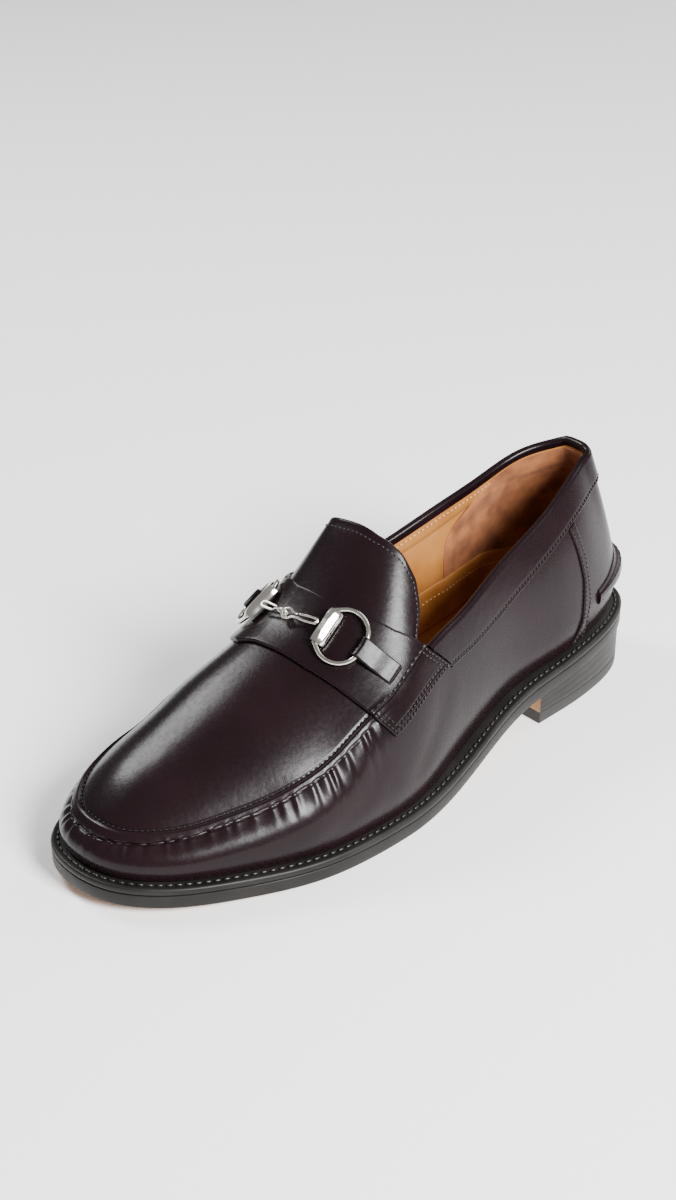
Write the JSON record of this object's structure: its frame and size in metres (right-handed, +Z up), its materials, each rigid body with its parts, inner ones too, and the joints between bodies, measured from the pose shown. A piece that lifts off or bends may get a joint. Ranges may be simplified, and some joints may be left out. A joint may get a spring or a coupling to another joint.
{
  "type": "bit loafer",
  "caption": "Left leather loafer with a moccasin-seam apron, saddle strap, metal snaffle bit, open collar, welted sole and low stacked heel.",
  "frame": {"origin": "on the floor under the middle of the outsole's outline", "axes": "+Z up, -Y towards the toe, +X towards the outer side of the left foot"},
  "size_m": [0.1063, 0.2966, 0.1092],
  "materials": {
    "calf": "polished",
    "edge": "dressed edge, satin",
    "heel": "dressed stack, satin",
    "top_lift": "matt",
    "lining": "smooth, natural",
    "bit": "polished nickel"
  },
  "bodies": {
    "root": {"outsole": "edge", "welt": "edge", "insole": "lining", "heel_stack": "heel", "top_lift": "top_lift", "upper": "calf", "tongue": "calf", "saddle_strap": "calf", "saddle_wing_lateral": "calf", "saddle_wing_medial": "calf", "collar_band": "calf", "counter_strip_lateral": "calf", "counter_strip_medial": "calf", "heel_kicker": "calf", "keeper_lateral": "calf", "keeper_medial": "calf", "bit_cheek_lateral": "bit", "bit_cheek_medial": "bit", "bit_ring_lateral": "bit", "bit_ring_medial": "bit", "bit_link_lateral": "bit", "bit_link_medial": "bit"}
  },
  "joints": []
}
